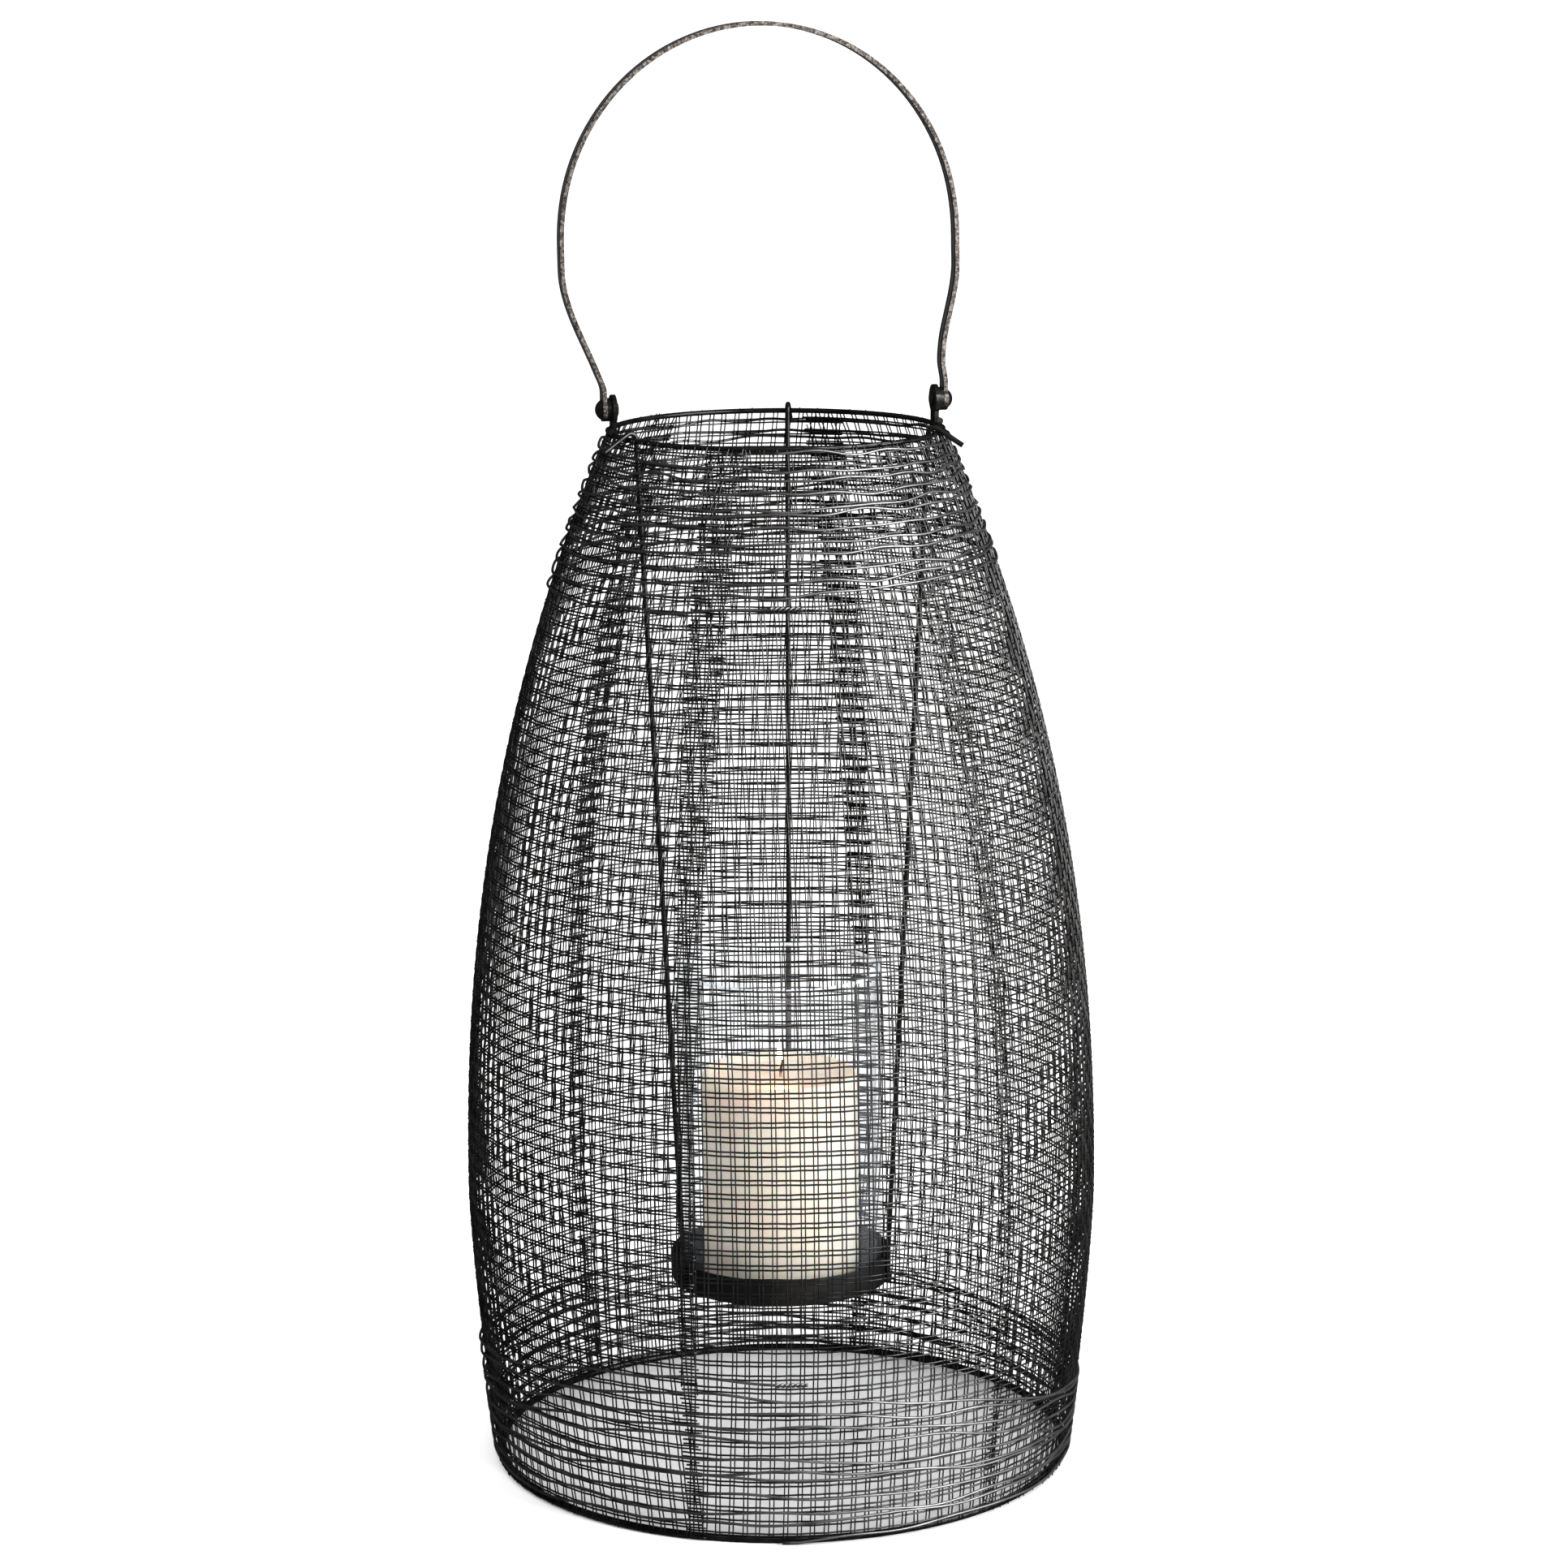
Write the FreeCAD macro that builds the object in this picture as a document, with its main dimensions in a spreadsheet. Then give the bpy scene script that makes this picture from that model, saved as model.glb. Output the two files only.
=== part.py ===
import FreeCAD, Part
import math
import os

os.makedirs("parts", exist_ok=True)
doc = FreeCAD.newDocument("CandleLantern")
V = FreeCAD.Vector

# ---------------------------------------------------------------------------
# Sizes in millimetres and degrees. Heights are measured from the floor.
# ---------------------------------------------------------------------------
SIZES = [
    # woven shell: a barrel drawn in to a mouth
    ("BodyHeight", 503.0),
    ("BellyHeight", 135.0),
    ("BellyRadius", 153.2),
    ("MouthRadius", 80.6),
    ("BaseRadius", 141.2),
    ("ShoulderPower", 2.2),
    ("SkirtPower", 1.4),
    ("MeshThickness", 0.5),
    ("MeshEdgeDrop", 0.3),
    ("MeshFloorGap", 0.4),
    ("LowerLap", 7.0),
    ("UpperLap", 17.0),
    ("FitGap", 0.05),
    # hoops
    ("TopRodDiameter", 2.5),
    ("BaseRodDiameter", 3.5),
    ("BaseFlatDepth", 0.15),
    # wire wound round the shell
    ("WrapWireDiameter", 1.1),
    ("TopWrapTurns", 12.0),
    ("TopWrapPitch", 5.9),
    ("TopWrapStart", 4.0),
    ("BottomWrapTurns", 11.0),
    ("BottomWrapPitch", 6.4),
    ("BottomWrapStart", 6.5),
    ("WrapWave", 1.3),
    # candle tray and the rods it hangs on
    ("TrayRadius", 53.5),
    ("TrayWallHeight", 12.5),
    ("TraySheet", 1.2),
    ("TrayDrop", 416.4),
    ("HangerDiameter", 2.5),
    ("HangerBend", 40.0),
    ("HookGap", 0.6),
    ("HookLegLength", 14.0),
    ("HookLegDip", 32.0),
    # chimney, candle and wick
    ("GlassRadius", 49.4),
    ("GlassHeight", 154.0),
    ("GlassThickness", 2.4),
    ("RestGap", 0.1),
    ("CandleRadius", 38.1),
    ("CandleHeight", 102.0),
    ("CandleEdge", 1.6),
    ("PoolRadius", 32.0),
    ("PoolDepth", 3.2),
    ("WickDiameter", 1.8),
    ("WickBury", 14.0),
    ("WickStand", 9.0),
    # ears, rivets and carrying strap
    ("PivotRise", 12.0),
    ("EarThickness", 2.0),
    ("EarWidth", 14.0),
    ("EarStemWidth", 8.0),
    ("BeadDiameter", 3.4),
    ("WasherThickness", 2.2),
    ("WasherDiameter", 11.0),
    ("SideGap", 0.15),
    ("RunningGap", 0.08),
    ("StrapWidth", 8.0),
    ("StrapThickness", 2.0),
    ("StrapEyeDiameter", 11.0),
    ("ShankDiameter", 4.0),
    ("HeadDiameter", 9.4),
    ("HeadHeight", 2.9),
    ("TailDiameter", 6.0),
    ("TailHeight", 1.2),
    ("HandleRise", 177.4),
    ("HandleShoulder", 79.0),
    ("HandleHalfWidth", 95.0),
    ("HandleLean", 7.0),
    ("HandleLeanReach", 22.0),
    ("HandleLegStart", 8.0),
]

DERIVED = [
    ("BaseRingHeight", "=BaseRodDiameter / 2 - BaseFlatDepth"),
    ("ShoulderSlope", "=ShoulderPower * (BellyRadius - MouthRadius) / (BodyHeight - BellyHeight)"),
    ("SkirtSlope", "=SkirtPower * (BellyRadius - BaseRadius) / (BellyHeight - BaseRingHeight)"),
    ("MeshDepth", "=2 * MeshThickness + FitGap"),
    ("TopRingRadius", "=MouthRadius - MeshDepth"
                      " - (TopRodDiameter / 2 + FitGap) * sqrt(1 + ShoulderSlope ^ 2)"),
    ("BaseRingRadius", "=BaseRadius - MeshDepth"
                       " - (BaseRodDiameter / 2 + FitGap) * sqrt(1 + SkirtSlope ^ 2)"),
    ("TrayUnder", "=BodyHeight - TrayDrop"),
    ("TrayFloor", "=TrayUnder + TraySheet"),
    ("PoolSphere", "=(PoolRadius ^ 2 + PoolDepth ^ 2) / (2 * PoolDepth)"),
    ("PivotHeight", "=BodyHeight + PivotRise"),
    ("EarOuter", "=TopRingRadius + EarThickness / 2"),
    ("StrapInner", "=EarOuter + WasherThickness + 2 * SideGap"),
    ("HeadBase", "=StrapInner + StrapThickness + SideGap"),
    ("HeadSphere", "=(HeadDiameter ^ 2 / 4 + HeadHeight ^ 2) / (2 * HeadHeight)"),
    ("TailOuter", "=TopRingRadius - EarThickness / 2 - FitGap"),
]

# Directions round the vertical axis, in degrees from +X
HANGER_ANGLES = [72.0, 197.0, 329.0]
PANEL_COUNT = 6

sheet = doc.addObject("Spreadsheet::Sheet", "Sizes")
for row, (alias, value) in enumerate(SIZES + DERIVED, start=1):
    sheet.set("A%d" % row, alias)
    sheet.set("B%d" % row, str(value))
    sheet.setAlias("B%d" % row, alias)
doc.recompute()


def size(alias):
    return float(sheet.get(alias))


def bind(obj, **links):
    """Tie each property of obj to an expression on the sheet."""
    for prop, expression in links.items():
        words = []
        for word in expression.split(" "):
            words.append("Sizes." + word if word[:1].isalpha() else word)
        obj.setExpression(prop.replace("__", "."), " ".join(words))
    return obj


def place(obj, base=V(0, 0, 0), axis=V(0, 0, 1), angle=0.0):
    obj.Placement = FreeCAD.Placement(base, FreeCAD.Rotation(axis, angle))
    return obj


def named(obj, node):
    obj.Label = node
    nodes.append(obj)
    return obj


def cut(name, base, tool):
    obj = doc.addObject("Part::Cut", name)
    obj.Base = base
    obj.Tool = tool
    return obj


def fuse(name, shapes):
    obj = doc.addObject("Part::MultiFuse", name)
    obj.Shapes = shapes
    return obj


def cylinder(name, **links):
    return bind(doc.addObject("Part::Cylinder", name), **links)


nodes = []


# ---------------------------------------------------------------------------
# Barrel profile shared by the mesh panels and the wound wires
# ---------------------------------------------------------------------------
BODY_H = size("BodyHeight")
BELLY_H = size("BellyHeight")
BELLY_R = size("BellyRadius")
RING_H = size("BaseRingHeight")


def shell_radius(z):
    """Outer radius of the woven shell at height z."""
    if z > BELLY_H:
        u = (z - BELLY_H) / (BODY_H - BELLY_H)
        return BELLY_R - (BELLY_R - size("MouthRadius")) * u ** size("ShoulderPower")
    v = (BELLY_H - z) / (BELLY_H - RING_H)
    return BELLY_R - (BELLY_R - size("BaseRadius")) * v ** size("SkirtPower")


def shell_stretch(z):
    """Slant length of the shell per unit of height at height z."""
    slope = (shell_radius(z + 0.5) - shell_radius(z - 0.5)) / 1.0
    return math.sqrt(1.0 + slope * slope)


def spline(points):
    curve = Part.BSplineCurve()
    curve.interpolate(points)
    return curve.toShape()


# ---------------------------------------------------------------------------
# Hoops: top ring and base ring, the base ring with a narrow flat to stand on
# ---------------------------------------------------------------------------
top_ring = bind(doc.addObject("Part::Torus", "TopRing"),
                Radius1="TopRingRadius", Radius2="TopRodDiameter / 2",
                Placement__Base__z="BodyHeight")
named(top_ring, "top_ring")

base_hoop = bind(doc.addObject("Part::Torus", "BaseHoop"),
                 Radius1="BaseRingRadius", Radius2="BaseRodDiameter / 2",
                 Placement__Base__z="BaseRingHeight")
floor_slab = cylinder("FloorSlab", Radius="BellyRadius", Height="BaseRodDiameter",
                      Placement__Base__z="0 - BaseRodDiameter")
named(cut("BaseRing", base_hoop, floor_slab), "base_ring")

# ---------------------------------------------------------------------------
# Mesh panels: six curved sheets whose side edges lap, every other one outside
# ---------------------------------------------------------------------------
mesh_low = size("MeshFloorGap")
mesh_high = BODY_H - size("MeshEdgeDrop")
PROFILE_STEPS = 18
profile_heights = [mesh_low + (mesh_high - mesh_low) * i / PROFILE_STEPS for i in range(PROFILE_STEPS + 1)]


def lap_at(z):
    """Width of the lap between two panels: wider where the shell draws in."""
    share = min(1.0, max(0.0, (z / BODY_H - 0.35) / 0.5))
    return size("LowerLap") + (size("UpperLap") - size("LowerLap")) * share


def panel_half_width(z):
    radius = shell_radius(z)
    half_angle = math.pi / PANEL_COUNT + lap_at(z) / 2.0 / radius
    return radius * math.sin(half_angle)


def mesh_panel(inset):
    """Sheet of the barrel, set in by inset from its outer surface, trimmed to one panel's outline."""
    outer = [V(shell_radius(z) - inset, 0, z) for z in profile_heights]
    inner = [p - V(size("MeshThickness"), 0, 0) for p in outer]
    section = Part.Wire([
        spline(outer),
        Part.makeLine(outer[-1], inner[-1]),
        spline(list(reversed(inner))),
        Part.makeLine(inner[0], outer[0]),
    ])
    sweep_angle = 90.0
    sheet_body = Part.Face(section)
    sheet_body.rotate(V(0, 0, 0), V(0, 0, 1), -sweep_angle / 2.0)
    sheet_body = sheet_body.revolve(V(0, 0, 0), V(0, 0, 1), sweep_angle)
    heights = [-5.0] + profile_heights[1:-1] + [BODY_H + 5.0]
    right = [V(1.0, panel_half_width(z), z) for z in heights]
    left = [V(p.x, -p.y, p.z) for p in right]
    outline = Part.Wire([
        spline(right),
        Part.makeLine(right[-1], left[-1]),
        spline(list(reversed(left))),
        Part.makeLine(left[0], right[0]),
    ])
    return sheet_body.common(Part.Face(outline).extrude(V(BELLY_R + 5.0, 0, 0)))


inner_inset = size("MeshThickness") + size("FitGap")
panel_shapes = [mesh_panel(inner_inset), mesh_panel(0.0)]
for index in range(PANEL_COUNT):
    panel = doc.addObject("Part::Feature", "MeshPanel%d" % (index + 1))
    panel.Shape = panel_shapes[index % 2]
    place(panel, angle=(index + 0.5) * 360.0 / PANEL_COUNT)
    named(panel, "mesh_panel_%d" % (index + 1))


# ---------------------------------------------------------------------------
# Wire wound round the outside of the shell near the mouth and near the base
# ---------------------------------------------------------------------------
def wound_wire(first_height, pitch, turns, swell):
    """One wire wound turns times round the shell, rising or falling by pitch a turn."""
    per_turn = 20
    lift = size("WrapWireDiameter") / 2.0 + size("FitGap")
    points = []
    for step in range(int(turns * per_turn) + 1):
        angle = 2.0 * math.pi * step / per_turn
        wave = swell * (math.sin(3.0 * angle) + 0.6 * math.sin(5.0 * angle + 1.0)) / 1.6
        z = first_height + pitch * angle / (2.0 * math.pi) + wave
        radius = shell_radius(z) + lift * shell_stretch(z)
        points.append(V(radius * math.cos(angle), radius * math.sin(angle), z))
    path = Part.Wire([spline(points)])
    start = path.Edges[0].tangentAt(path.Edges[0].FirstParameter)
    ring = Part.Wire([Part.Circle(points[0], start, size("WrapWireDiameter") / 2.0).toShape()])
    return path.makePipeShell([ring], True, True)


top_wrap = doc.addObject("Part::Feature", "TopWrap")
top_wrap.Shape = wound_wire(BODY_H - size("TopWrapStart"), -size("TopWrapPitch"),
                            size("TopWrapTurns"), size("WrapWave"))
named(top_wrap, "top_wrap_wire")

bottom_wrap = doc.addObject("Part::Feature", "BottomWrap")
bottom_wrap.Shape = wound_wire(size("BottomWrapStart"), size("BottomWrapPitch"),
                               size("BottomWrapTurns"), size("WrapWave"))
named(bottom_wrap, "bottom_wrap_wire")

# ---------------------------------------------------------------------------
# Candle tray: a shallow round pan with a rolled rim
# ---------------------------------------------------------------------------
pan = cylinder("Pan", Radius="TrayRadius", Height="TrayWallHeight", Placement__Base__z="TrayUnder")
rim_roll = bind(doc.addObject("Part::Torus", "RimRoll"),
                Radius1="TrayRadius - TraySheet / 2", Radius2="TraySheet * 0.55",
                Placement__Base__z="TrayUnder + TrayWallHeight")
pan_well = cylinder("PanWell", Radius="TrayRadius - TraySheet", Height="TrayWallHeight",
                    Placement__Base__z="TrayFloor")
pan_shell = cut("PanShell", pan, pan_well)
named(fuse("CandleTray", [pan_shell, rim_roll]), "candle_tray")


# ---------------------------------------------------------------------------
# Hanger rods: welded up the tray's wall, leaning out to hooks over the top ring
# ---------------------------------------------------------------------------
def hanger_rod():
    rod = size("HangerDiameter") / 2.0
    foot_r = size("TrayRadius") + size("TraySheet") * 0.05 + rod + size("FitGap")
    foot_z = size("TrayUnder") + 1.0
    bend_z = size("TrayUnder") + size("TrayWallHeight") + 4.0
    bend = size("HangerBend")
    hook = size("TopRodDiameter") / 2.0 + size("HookGap") + rod
    centre_r = size("TopRingRadius")
    lean = 0.0
    for _ in range(6):
        leave_r = foot_r + bend * (1.0 - math.cos(lean))
        leave_z = bend_z + bend * math.sin(lean)
        reach = math.hypot(centre_r - leave_r, BODY_H - leave_z)
        lean = math.atan2(centre_r - leave_r, BODY_H - leave_z) - math.asin(hook / reach)

    def on_bend(angle):
        return V(foot_r + bend * (1.0 - math.cos(angle)), 0, bend_z + bend * math.sin(angle))

    def on_hook(angle):
        return V(centre_r + hook * math.cos(angle), 0, BODY_H + hook * math.sin(angle))

    dip = math.radians(size("HookLegDip"))
    first, last = math.pi - lean, math.pi / 2.0 - dip
    tip = on_hook(last) + V(math.cos(dip), 0, -math.sin(dip)) * size("HookLegLength")
    path = Part.Wire([
        Part.makeLine(V(foot_r, 0, foot_z), on_bend(0.0)),
        Part.Arc(on_bend(0.0), on_bend(lean / 2.0), on_bend(lean)).toShape(),
        Part.makeLine(on_bend(lean), on_hook(first)),
        Part.Arc(on_hook(first), on_hook((first + last) / 2.0), on_hook(last)).toShape(),
        Part.makeLine(on_hook(last), tip),
    ])
    ring = Part.Wire([Part.Circle(V(foot_r, 0, foot_z), V(0, 0, 1), rod).toShape()])
    return path.makePipeShell([ring], True, True)


rod_shape = hanger_rod()
for index, angle in enumerate(HANGER_ANGLES, start=1):
    hanger = doc.addObject("Part::Feature", "Hanger%d" % index)
    hanger.Shape = rod_shape
    place(hanger, angle=angle)
    named(hanger, "hanger_rod_%d" % index)

# ---------------------------------------------------------------------------
# Glass chimney, candle with its melt pool, and wick
# ---------------------------------------------------------------------------
glass_outer = cylinder("GlassOuter", Radius="GlassRadius", Height="GlassHeight",
                       Placement__Base__z="TrayFloor + RestGap")
glass_bore = cylinder("GlassBore", Radius="GlassRadius - GlassThickness",
                      Height="GlassHeight + 2", Placement__Base__z="TrayFloor - 1")
glass_tube = cut("GlassTube", glass_outer, glass_bore)
glass = doc.addObject("Part::Fillet", "Glass")
glass.Base = glass_tube
doc.recompute()
rim_edges = [i for i, e in enumerate(glass_tube.Shape.Edges, start=1) if isinstance(e.Curve, Part.Circle)]
glass.Edges = [(i, size("GlassThickness") * 0.3, size("GlassThickness") * 0.3) for i in rim_edges]
named(glass, "glass_chimney")

candle_block = cylinder("CandleBlock", Radius="CandleRadius", Height="CandleHeight",
                        Placement__Base__z="TrayFloor + RestGap")
candle_round = doc.addObject("Part::Fillet", "CandleRound")
candle_round.Base = candle_block
doc.recompute()
candle_edges = [i for i, e in enumerate(candle_block.Shape.Edges, start=1) if isinstance(e.Curve, Part.Circle)]
candle_round.Edges = [(i, size("CandleEdge"), size("CandleEdge")) for i in candle_edges]
pool_ball = bind(doc.addObject("Part::Sphere", "PoolBall"), Radius="PoolSphere",
                 Placement__Base__z="TrayFloor + RestGap + CandleHeight - PoolDepth + PoolSphere")
pooled = cut("PooledCandle", candle_round, pool_ball)
wick_bore = cylinder("WickBore", Radius="WickDiameter / 2 + FitGap",
                     Height="WickBury + PoolDepth + 1",
                     Placement__Base__z="TrayFloor + RestGap + CandleHeight - PoolDepth - WickBury")
named(cut("Candle", pooled, wick_bore), "candle")
wick = cylinder("Wick", Radius="WickDiameter / 2", Height="WickBury + WickStand",
                Placement__Base__z="TrayFloor + RestGap + CandleHeight - PoolDepth - WickBury + FitGap")
named(wick, "wick")

# ---------------------------------------------------------------------------
# Ears on the top ring, washers and rivets, made on the +X side and turned for -X
# ---------------------------------------------------------------------------
for side, turn in (("right", 0.0), ("left", 180.0)):
    tag = side.capitalize()
    stem = bind(doc.addObject("Part::Box", "Stem" + tag),
                Length="EarThickness", Width="EarStemWidth", Height="PivotRise - 0.5",
                Placement__Base__x="TopRingRadius - EarThickness / 2",
                Placement__Base__y="0 - EarStemWidth / 2", Placement__Base__z="BodyHeight + 0.5")
    head = cylinder("EarHead" + tag, Radius="EarWidth / 2", Height="EarThickness",
                    Placement__Base__x="TopRingRadius - EarThickness / 2",
                    Placement__Base__z="PivotHeight")
    bead = cylinder("Bead" + tag, Radius="BeadDiameter / 2", Height="EarStemWidth * 1.1",
                    Placement__Base__x="EarOuter + BeadDiameter * 0.1",
                    Placement__Base__y="EarStemWidth * 0.55",
                    Placement__Base__z="BodyHeight + BeadDiameter / 2 + FitGap")
    bead.Placement.Rotation = FreeCAD.Rotation(V(1, 0, 0), 90)
    saddle = bind(doc.addObject("Part::Torus", "Saddle" + tag),
                  Radius1="TopRingRadius", Radius2="TopRodDiameter / 2 + FitGap / 2",
                  Placement__Base__z="BodyHeight")
    bore = cylinder("EarBore" + tag, Radius="ShankDiameter / 2 + FitGap / 2",
                    Height="EarThickness + 8", Placement__Base__x="TopRingRadius - EarThickness / 2 - 4",
                    Placement__Base__z="PivotHeight")
    shank = cylinder("Shank" + tag, Radius="ShankDiameter / 2", Height="HeadBase - TailOuter + 1",
                     Placement__Base__x="TailOuter - 0.5", Placement__Base__z="PivotHeight")
    tail = cylinder("Tail" + tag, Radius="TailDiameter / 2", Height="TailHeight",
                    Placement__Base__x="TailOuter - TailHeight", Placement__Base__z="PivotHeight")
    ball = bind(doc.addObject("Part::Sphere", "HeadBall" + tag), Radius="HeadSphere",
                Placement__Base__x="HeadBase + HeadHeight - HeadSphere",
                Placement__Base__z="PivotHeight")
    head_block = cylinder("HeadBlock" + tag, Radius="HeadSphere + 1", Height="HeadHeight + 1",
                          Placement__Base__x="HeadBase", Placement__Base__z="PivotHeight")
    ring = cylinder("WasherDisc" + tag, Radius="WasherDiameter / 2", Height="WasherThickness",
                    Placement__Base__x="EarOuter + SideGap", Placement__Base__z="PivotHeight")
    ring_bore = cylinder("WasherBore" + tag, Radius="ShankDiameter / 2 + RunningGap",
                         Height="WasherThickness + 2", Placement__Base__x="EarOuter + SideGap - 1",
                         Placement__Base__z="PivotHeight")
    for part in (head, bore, shank, tail, head_block, ring, ring_bore):
        part.Placement.Rotation = FreeCAD.Rotation(V(0, 1, 0), 90)
    plate = cut("EarPlate" + tag, fuse("EarBlank" + tag, [stem, head, bead]), bore)
    ear = cut("Ear" + tag, plate, saddle)
    dome = doc.addObject("Part::Common", "Dome" + tag)
    dome.Base = ball
    dome.Tool = head_block
    rivet = fuse("Rivet" + tag, [shank, tail, dome])
    washer = cut("Washer" + tag, ring, ring_bore)
    for part in (ear, rivet, washer):
        place(part, angle=turn)
    named(ear, "ear_" + side)
    named(rivet, "rivet_" + side)
    named(washer, "washer_" + side)


# ---------------------------------------------------------------------------
# Carrying strap: a thin flat bar bent to an arch on two straight legs
# ---------------------------------------------------------------------------
def smooth(share):
    share = min(1.0, max(0.0, share))
    return share * share * (3.0 - 2.0 * share)


def lean_at(h):
    """Sideways set of the hand-bent arch at height h above the pivots."""
    past = max(0.0, h - size("HandleLegStart")) / size("HandleLeanReach")
    return -size("HandleLean") * (1.0 - math.exp(-past ** 1.2))


def strap_centre():
    """Centre line of the bent part, from the top of the right leg's straight foot to the left one's."""
    foot = size("StrapInner") + size("StrapThickness") / 2.0
    shoulder = size("HandleShoulder")
    leg_start = size("HandleLegStart")
    half = []
    for share in (0.0, 0.1, 0.2, 0.3, 0.41, 0.53, 0.65, 0.76, 0.88):
        h = leg_start + (shoulder - leg_start) * share
        half.append((foot + (size("HandleHalfWidth") - foot) * smooth(share / 0.8), h))
    for step in range(7):
        angle = math.radians(15.0 * step)
        half.append((size("HandleHalfWidth") * math.cos(angle),
                     shoulder + (size("HandleRise") - shoulder) * math.sin(angle)))
    whole = half + [(-x, h) for x, h in reversed(half[:-1])]
    return [V(x + lean_at(h), 0, size("PivotHeight") + h) for x, h in whole]


def strap_side(centre, sign):
    """Points down one face of the bent part of the strap."""
    row = []
    last = len(centre) - 1
    for i, point in enumerate(centre):
        along = (centre[min(last, i + 1)] - centre[max(0, i - 1)]).normalize()
        if i in (0, last):
            along = V(0, 0, 1 if i == 0 else -1)
        row.append(point + V(along.z, 0, -along.x) * (sign * size("StrapThickness") / 2.0))
    return row


def strap_face(row):
    """A straight foot, the bent length and the other straight foot, in the order of the points."""
    along = [0.0]
    for before, after in zip(row, row[1:]):
        along.append(along[-1] + before.distanceToPoint(after))
    curve = Part.BSplineCurve()
    curve.interpolate(Points=row, Parameters=along, Scale=False,
                      InitialTangent=V(0, 0, 1), FinalTangent=V(0, 0, -1))
    feet = [V(p.x, 0, size("PivotHeight")) for p in (row[0], row[-1])]
    return feet, [Part.makeLine(feet[0], row[0]), curve.toShape(), Part.makeLine(row[-1], feet[1])]


def strap_section():
    centre = strap_centre()
    outer_feet, outer_edges = strap_face(strap_side(centre, 1.0))
    inner_feet, inner_edges = strap_face(list(reversed(strap_side(centre, -1.0))))
    return Part.Face(Part.Wire(
        outer_edges + [Part.makeLine(outer_feet[1], inner_feet[0])]
        + inner_edges + [Part.makeLine(inner_feet[1], outer_feet[0])]))


section = doc.addObject("Part::Feature", "StrapSection")
section.Shape = strap_section()
bar = bind(doc.addObject("Part::Extrusion", "StrapBar"), LengthFwd="StrapWidth")
bar.Base = section
bar.DirMode = "Custom"
bar.Dir = V(0, 1, 0)
bar.Symmetric = True
bar.Solid = True
eyes = []
eye_bores = []
for tag, sign in (("Right", 1), ("Left", -1)):
    near = "StrapInner" if sign > 0 else "0 - StrapInner - StrapThickness"
    eye = cylinder("StrapEye" + tag, Radius="StrapEyeDiameter / 2", Height="StrapThickness",
                   Placement__Base__x=near, Placement__Base__z="PivotHeight")
    eye_bore = cylinder("StrapBore" + tag, Radius="ShankDiameter / 2 + RunningGap",
                        Height="StrapThickness + 2", Placement__Base__x=near + " - 1",
                        Placement__Base__z="PivotHeight")
    for part in (eye, eye_bore):
        part.Placement.Rotation = FreeCAD.Rotation(V(0, 1, 0), 90)
    eyes.append(eye)
    eye_bores.append(eye_bore)
strap_blank = fuse("StrapBlank", [bar] + eyes)
named(cut("Handle", strap_blank, fuse("StrapBores", eye_bores)), "handle_strap")

# ---------------------------------------------------------------------------
# Recompute, verify and export one file per named piece
# ---------------------------------------------------------------------------
doc.recompute()
for obj in doc.Objects:
    if "Invalid" in obj.State or "Error" in obj.State:
        raise RuntimeError("%s did not recompute: %s" % (obj.Name, obj.State))
for obj in nodes:
    shape = obj.Shape
    if shape.isNull() or not shape.isValid() or not shape.Solids:
        raise RuntimeError("%s has no valid solid" % obj.Label)
    shape.exportStep(os.path.join("parts", obj.Label + ".step"))
    box = shape.BoundBox
    print("%-18s solids %d  volume %10.1f  z %.2f..%.2f  x %.2f..%.2f" % (
        obj.Label, len(shape.Solids), shape.Volume, box.ZMin, box.ZMax, box.XMin, box.XMax))
print("pieces", len(nodes))
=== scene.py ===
# %% [markdown]
# # A woven wire candle lantern
# The lantern is a cage of fine woven wire between two steel hoops, with wire wound by hand round both
# ends. A strap handle swings on two rivets. A tray hangs inside on three hooked rods, and a glass
# chimney and a pillar candle stand on the tray. The design file gives every piece its place and size,
# so this lesson never fits anything by eye: it asks the frame where a piece is and builds upon it.

# %% Open the frame
import math

import bmesh
import bpy
import numpy as np
from mathutils import Matrix, Vector


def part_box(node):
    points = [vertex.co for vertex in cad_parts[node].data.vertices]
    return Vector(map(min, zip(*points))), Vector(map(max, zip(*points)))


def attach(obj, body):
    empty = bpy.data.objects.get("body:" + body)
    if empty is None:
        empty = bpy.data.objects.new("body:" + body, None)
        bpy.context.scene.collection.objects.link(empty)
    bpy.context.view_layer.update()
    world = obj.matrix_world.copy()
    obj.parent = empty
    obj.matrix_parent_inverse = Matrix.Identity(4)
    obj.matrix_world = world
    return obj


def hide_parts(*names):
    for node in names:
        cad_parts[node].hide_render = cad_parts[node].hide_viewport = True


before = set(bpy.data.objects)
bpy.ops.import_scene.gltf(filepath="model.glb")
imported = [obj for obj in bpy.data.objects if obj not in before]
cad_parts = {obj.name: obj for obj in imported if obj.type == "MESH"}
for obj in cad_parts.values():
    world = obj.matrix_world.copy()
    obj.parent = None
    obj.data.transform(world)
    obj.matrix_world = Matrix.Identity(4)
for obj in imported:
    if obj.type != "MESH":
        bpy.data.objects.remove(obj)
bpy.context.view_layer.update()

mm = 0.001

# %% [markdown]
# ## The camera
# A product camera stands well back with a long lens, so that the upright lines stay nearly parallel,
# and looks a little down into the mouth. Its three directions are worked out first, and then put into
# a matrix, which is surer than three Euler angles. The camera also rolls a third of a degree, as a
# camera on a hand-set tripod does.

# %% Place the camera
camera_distance = 2.0637
camera_height = 0.7487
camera_sidestep = 3 * mm
camera_turn = math.radians(13.5)
camera_pitch = math.radians(11.42)
camera_roll = math.radians(0.37)

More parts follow.
